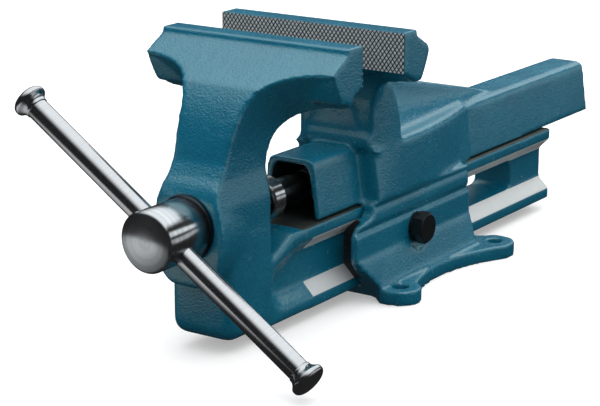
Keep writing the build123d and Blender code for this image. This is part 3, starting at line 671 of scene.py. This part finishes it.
# cut the rows off square at the edges of the grip
def cutBack(piece, low, high):
    work = bmesh.new()
    work.from_mesh(piece.data)
    for axis in (0, 2):
        for limit, sign in ((low, -1), (high, 1)):
            point, normal = Vector(), Vector()
            point[axis] = limit[axis]
            normal[axis] = sign
            sliceOff(work, point, normal)
    bmesh.ops.recalc_face_normals(work, faces=work.faces)
    work.to_mesh(piece.data)
    work.free()


def grip(pieceName, faceY, facing, body):
    material = knurledSteel(pieceName + "Steel", faceY, faceY + facing * knurl["high"])
    piece = knurlRows(pieceName, material)
    turn = Matrix.Rotation(math.radians(-90 * facing), 4, "X")
    middle = Vector((0, faceY - facing * knurl["sink"], jaws["topZ"] - jaws["gripTall"] / 2))
    piece.data.transform(Matrix.Translation(middle) @ turn)
    halfWide = jaws["halfWide"] - knurl["inset"]
    low = Vector((-halfWide, 0, jaws["topZ"] - jaws["gripTall"] + knurl["inset"]))
    high = Vector((halfWide, 0, jaws["topZ"] - knurl["inset"]))
    cutBack(piece, low, high)
    piece.data.materials.clear()
    piece.data.materials.append(material)
    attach(piece, body)
    print(pieceName, len(piece.data.polygons), "faces")


grip("fixedKnurl", jaws["fixedFaceY"], -1, "fixed_jaw")
grip("movingKnurl", jaws["movingFaceY"], 1, "moving_jaw")


thread = {
    "frontY": -0.1125, "endY": 0.1295, "outside": 0.009, "root": 0.00675, "pitch": 0.004,
    "steps": 32,                        # points in each turn
    "footShare": 0.64, "crestShare": 0.36,      # widths of the ridge as shares of the pitch
    "coreSides": 48,
    "coreSwell": 0.00003,               # the core reaches into the ridge
    "overlap": 0.002,                   # the shank reaches into the thread
    "shankHardPast": 32, "hardPast": 25,        # an edge that bends more degrees stays hard
}


# a trapezoidal ridge that winds round a core
def windThread(pieceName):
    wind = Growth("threadRidge", {
        "Length": thread["endY"] - thread["frontY"], "Pitch": thread["pitch"], "Root": thread["root"],
        "Outside": thread["outside"], "Steps": thread["steps"], "Material": spindleSteel,
    })
    length, pitch = wind.given("Length"), wind.given("Pitch")
    root, outside = wind.given("Root"), wind.given("Outside")
    middle = wind.product(wind.total(outside, root), 0.5)
    path = wind.add("GeometryNodeCurveSpiral")
    wind.feed(path.inputs["Resolution"], wind.given("Steps"))
    wind.feed(path.inputs["Rotations"], wind.math("DIVIDE", length, pitch))
    wind.feed(path.inputs["Start Radius"], middle)
    wind.feed(path.inputs["End Radius"], middle)
    wind.feed(path.inputs["Height"], length)
    upright = wind.add("GeometryNodeSetCurveNormal", mode="Z_UP")
    wind.feed(upright.inputs[0], path.outputs[0])
    ridge = wind.add("GeometryNodeCurvePrimitiveQuadrilateral", mode="TRAPEZOID")
    wind.feed(ridge.inputs["Bottom Width"], wind.product(pitch, thread["footShare"]))
    wind.feed(ridge.inputs["Top Width"], wind.product(pitch, thread["crestShare"]))
    wind.feed(ridge.inputs["Height"], wind.math("SUBTRACT", outside, root))
    ridge.inputs["Offset"].default_value = 0.0
    body = wind.add("GeometryNodeCurveToMesh")
    wind.feed(body.inputs["Curve"], upright.outputs[0])
    outline = wind.move(ridge.outputs[0], rotation=(0, 0, math.radians(90)))
    wind.feed(body.inputs["Profile Curve"], outline)
    body.inputs["Fill Caps"].default_value = True
    core = wind.add("GeometryNodeMeshCylinder")
    core.inputs["Vertices"].default_value = thread["coreSides"]
    wind.feed(core.inputs["Radius"], wind.total(root, thread["coreSwell"]))
    wind.feed(core.inputs["Depth"], length)
    lift = wind.combine(0.0, 0.0, wind.product(length, 0.5))
    wind.close(wind.join(body.outputs[0], wind.move(core.outputs["Mesh"], translation=lift)))
    return wind.grow(pieceName)


# the turned head and shank from the CAD, with a real thread behind the shank
def spindle():
    shank = mergedCopy("spindle_screw", "spindleTurned")
    work = bmesh.new()
    work.from_mesh(shank.data)
    sliceOff(work, (0, thread["frontY"] + thread["overlap"], 0), (0, 1, 0))
    work.to_mesh(shank.data)
    work.free()
    dress(shank, spindleSteel)
    shank.data.set_sharp_from_angle(angle=math.radians(thread["shankHardPast"]))
    screw = windThread("spindleThread")
    turn = Matrix.Rotation(math.radians(-90), 4, "X")
    screw.data.transform(Matrix.Translation((0, thread["frontY"], axisZ)) @ turn)
    dress(screw, spindleSteel)
    screw.data.set_sharp_from_angle(angle=math.radians(thread["hardPast"]))
    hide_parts("spindle_screw")
    for piece in (shank, screw):
        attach(piece, "spindle")
    print("spindle", len(shank.data.polygons) + len(screw.data.polygons), "faces")


spindle()


# a lathe form: (distance, radius) pairs turned about an axis from start
def turnedPiece(pieceName, profile, start, along, segments):
    along = along.normalized()
    across = along.cross(Vector((0, 1, 0))).normalized()
    third = along.cross(across)
    work = bmesh.new()
    rings = []
    for distance, radius in profile:
        centre = start + along * distance
        if radius == 0:
            rings.append([work.verts.new(centre)])
            continue
        ring = []
        for step in range(segments):
            angle = 2 * math.pi * step / segments
            spoke = math.cos(angle) * across + math.sin(angle) * third
            ring.append(work.verts.new(centre + radius * spoke))
        rings.append(ring)
    for a, b in zip(rings, rings[1:]):
        for step in range(segments):
            after = (step + 1) % segments
            corners = [a[step % len(a)], a[after % len(a)], b[after % len(b)], b[step % len(b)]]
            unique = list(dict.fromkeys(corners))
            if len(unique) > 2:
                work.faces.new(unique)
    bmesh.ops.recalc_face_normals(work, faces=work.faces)
    piece = bpy.data.objects.new(pieceName, bpy.data.meshes.new(pieceName))
    work.to_mesh(piece.data)
    work.free()
    collection.objects.link(piece)
    return piece


knob = {
    "start": 0.115,                     # from the middle of the bar
    "length": 0.012, "radius": 0.011, "neck": 0.0076, "segments": 72,
    "chamfer": 0.0004,
    "flareFrom": 0.0012, "flareLength": 0.0043, "flareSteps": 8,
    "flareCurve": 1.9,                  # the higher, the later the flare opens
    "rimFrom": 0.0060, "rimTo": 0.0076, "rimRound": 0.0006,
    "domeFrom": 0.0080, "domeSteps": 12, "domeInset": 0.0001,
    "domeCurve": 0.8,                   # below 1 the dome is fuller than an ellipse
    "hardPast": 50,
}


# a short neck, a hollow flare, a thin rim and a low dome
def knobProfile():
    radius, neck, rimRound = knob["radius"], knob["neck"], knob["rimRound"]
    profile = [(0.0, 0.0), (0.0, neck - knob["chamfer"]), (knob["chamfer"], neck)]
    for step in range(knob["flareSteps"] + 1):
        t = step / knob["flareSteps"]
        opening = neck + (radius - rimRound - neck) * t ** knob["flareCurve"]
        profile.append((knob["flareFrom"] + knob["flareLength"] * t, opening))
    profile.append((knob["rimFrom"], radius - rimRound / 3))
    profile.append((knob["rimFrom"] + rimRound, radius))
    profile.append((knob["rimTo"], radius))
    for step in range(1, knob["domeSteps"]):
        angle = math.radians(90 * step / knob["domeSteps"])
        distance = knob["domeFrom"] + (knob["length"] - knob["domeFrom"]) * math.sin(angle)
        profile.append((distance, (radius - knob["domeInset"]) * math.cos(angle) ** knob["domeCurve"]))
    return profile + [(knob["length"], 0.0)]


def handleKnob(side, nodeName, pieceName):
    along = Vector((math.cos(handleTilt), 0, -math.sin(handleTilt))) * side
    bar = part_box("handle_bar")
    middleY = (bar[0].y + bar[1].y) / 2
    start = Vector((0, middleY, axisZ)) + along * knob["start"]
    piece = turnedPiece(pieceName, knobProfile(), start, along, knob["segments"])
    dress(piece, barSteel)
    piece.data.set_sharp_from_angle(angle=math.radians(knob["hardPast"]))
    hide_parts(nodeName)
    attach(piece, "handle")


handleKnob(-1, "handle_knob_left", "knobLeft")
handleKnob(1, "handle_knob_right", "knobRight")
print("handle knobs turned")


plainNodes = {
    "adjusting_gib": gibIron, "gib_pins": gibIron, "spindle_nut": gibIron, "nut_pin": washerSteel,
    "adjusting_bolt": blackOxide, "bolt_lock_washer": blackOxide, "thrust_washer": washerSteel,
    "recoil_spring": springSteel, "spring_washer": washerSteel, "handle_friction_rings": ringRubber,
    "retaining_collar": spindleSteel, "collar_pin": washerSteel, "handle_bar": barSteel,
}
for nodeName, material in plainNodes.items():
    mesh = nodes[nodeName].data
    if not mesh.materials:
        mesh.materials.append(material)
    for index in range(len(mesh.materials)):
        mesh.materials[index] = material
print("plain nodes dressed")


# a pair is where a light starts to fade in and where it is full
studio = {
    "floorHalf": 6.0, "floorSink": 0.0002,
    "floorColour": (0.80, 0.80, 0.80, 1), "floorLift": 0.30,
    # the floor's glow seen by the object: a painted pool of light, painted shade near the object, painted
    # light beyond
    "pool": 0.60, "poolCentre": (-0.19, -0.45, 0), "poolEdge": (0.26, 0.10),
    "beyondX": (0.55, 0.70), "beyondY": (-0.30, 0.0),
    "softbox": 1.25,                    # large softbox overhead, to the left and behind
    "softboxRight": (1.25, 0.65), "softboxSlant": 0.2, "softboxLeft": (-1.7, -0.4),
    "softboxFront": (-1.3, -0.1), "softboxLow": (0.03, 0.25),
    "strip": 0.95, "stripTurn": 1.19, "stripEdge": (0.17, 0.07),    # narrow light low on the right
    "horizon": 0.50, "horizonTurn": 1.66, "horizonEdge": (0.22, 0.15),
    "rear": (-0.4, 0.1),
    "walls": 0.022, "air": (0.97, 0.99, 1.0, 1),
    "leastUp": 0.02,                    # level directions count as rising this much
}


# what the object sees of the floor: a painted pool of light in front, painted shade behind it, painted
# light beyond
def paintedFloorLight(tree, place):
    x, y, z = tree.separate(place)
    pool = tree.add("ShaderNodeVectorMath", operation="DISTANCE")
    tree.feed(pool.inputs[0], place)
    pool.inputs[1].default_value = studio["poolCentre"]
    near = tree.product(tree.smoothRamp(pool.outputs["Value"], *studio["poolEdge"]), studio["pool"])
    beyond = tree.smoothRamp(x, *studio["beyondX"])
    behind = tree.smoothRamp(y, *studio["beyondY"])
    far = tree.product(beyond, behind, studio["horizon"])
    return tree.total(tree.math("MAXIMUM", near, far), studio["walls"])


# the studio as the object sees it, by direction: softbox, strip, horizon and dim walls
def studioGlow(tree, direction):
    x, y, z = tree.separate(direction)
    up = tree.math("MAXIMUM", z, studio["leastUp"])
    side = tree.math("DIVIDE", x, up)
    depth = tree.math("DIVIDE", y, up)
    slant = tree.total(side, tree.product(depth, studio["softboxSlant"]))
    box = tree.product(
        tree.smoothRamp(slant, *studio["softboxRight"]), tree.smoothRamp(side, *studio["softboxLeft"]),
        tree.smoothRamp(depth, *studio["softboxFront"]), tree.smoothRamp(z, *studio["softboxLow"]))
    turn = tree.math("ARCTAN2", x, z)
    rear = tree.smoothRamp(y, *studio["rear"])
    total = tree.product(box, studio["softbox"])
    for light in ("strip", "horizon"):
        away = tree.math("ABSOLUTE", tree.math("SUBTRACT", turn, studio[light + "Turn"]))
        band = tree.smoothRamp(away, *studio[light + "Edge"])
        total = tree.total(total, tree.product(band, rear, studio[light]))
    return tree.total(total, studio["walls"])


# the camera sees one shader; glossy, transmission and diffuse rays see the other
def splitView(tree, out, forCamera, forObject):
    path = tree.add("ShaderNodeLightPath")
    mirrored = tree.math("MAXIMUM", path.outputs["Is Glossy Ray"], path.outputs["Is Transmission Ray"])
    pick = tree.add("ShaderNodeMixShader")
    tree.feed(pick.inputs[0], tree.math("MAXIMUM", mirrored, path.outputs["Is Diffuse Ray"]))
    tree.feed(pick.inputs[1], forCamera.outputs[0])
    tree.feed(pick.inputs[2], forObject.outputs[0])
    tree.feed(out.inputs["Surface"], pick.outputs[0])


def floor():
    half = studio["floorHalf"]
    corners = [(-half, -half, 0), (half, -half, 0), (half, half, 0), (-half, half, 0)]
    mesh = bpy.data.meshes.new("studioFloor")
    mesh.from_pydata(corners, [], [(0, 1, 2, 3)])
    piece = bpy.data.objects.new("studioFloor", mesh)
    piece.location.z = -studio["floorSink"]
    collection.objects.link(piece)
    material = bpy.data.materials.new("paleFloor")
    material.use_nodes = True
    tree = Tree(material.node_tree)
    out = tree.add("ShaderNodeOutputMaterial")
    place = tree.add("ShaderNodeTexCoord").outputs["Object"]
    matte = tree.add("ShaderNodeBsdfDiffuse")
    matte.inputs["Color"].default_value = studio["floorColour"]
    lift = tree.add("ShaderNodeEmission")
    lift.inputs["Strength"].default_value = studio["floorLift"]
    both = tree.add("ShaderNodeAddShader")
    tree.feed(both.inputs[0], matte.outputs[0])
    tree.feed(both.inputs[1], lift.outputs[0])
    # a glow with painted light and shade, seen by the object in place of the lit floor
    glow = tree.add("ShaderNodeEmission")
    tree.feed(glow.inputs["Strength"], paintedFloorLight(tree, place))
    splitView(tree, out, both, glow)
    material.cycles.emission_sampling = "NONE"
    mesh.materials.append(material)


def sky():
    world = bpy.data.worlds.new("studioSky")
    bpy.context.scene.world = world
    world.use_nodes = True
    world.cycles.sampling_method = "NONE"
    tree = Tree(world.node_tree)
    out = tree.add("ShaderNodeOutputWorld")
    direction = tree.add("ShaderNodeTexCoord").outputs["Generated"]
    glow = tree.add("ShaderNodeBackground")
    glow.inputs["Color"].default_value = studio["air"]
    tree.feed(glow.inputs["Strength"], studioGlow(tree, direction))
    white = tree.add("ShaderNodeBackground")
    white.inputs["Color"].default_value = (1, 1, 1, 1)
    splitView(tree, out, white, glow)


# even light for matt surfaces: each lamp is half of a sky, its strength a share of full light
evenLight = {
    "evenTop": {"from": (0, 0, 1), "share": 0.36},
    "evenFront": {"from": (-0.4, -1, 0.1), "share": 0.36},
    "evenRight": {"from": (1, 0.1, 0.1), "share": 0.26},
    "evenRear": {"from": (-0.6, 1, 0.1), "share": 0.26},
}


def lamp(name, values):
    light = bpy.data.lights.new(name, "SUN")
    light.angle = math.pi
    light.energy = values["share"] * math.pi
    light.cycles.use_multiple_importance_sampling = False
    piece = bpy.data.objects.new(name, light)
    piece.visible_glossy = False        # shiny surfaces show the softboxes instead
    piece.rotation_euler = Vector(values["from"]).to_track_quat("Z", "Y").to_euler()
    collection.objects.link(piece)


view = {"place": (0.69533, -1.134245, 0.412633), "yaw": 34.2, "pitch": 15.5, "lens": 119.4, "sensor": 36.0}


def camera():
    data = bpy.data.cameras.new("photoCamera")
    data.lens = view["lens"]
    data.sensor_width = view["sensor"]
    piece = bpy.data.objects.new("photoCamera", data)
    piece.location = view["place"]
    piece.rotation_euler = (math.radians(90 - view["pitch"]), 0, math.radians(view["yaw"]))
    collection.objects.link(piece)
    bpy.context.scene.camera = piece


floor()
sky()
for name, values in evenLight.items():
    lamp(name, values)
camera()
bpy.context.scene.view_settings.view_transform = "Standard"
print("stage set")
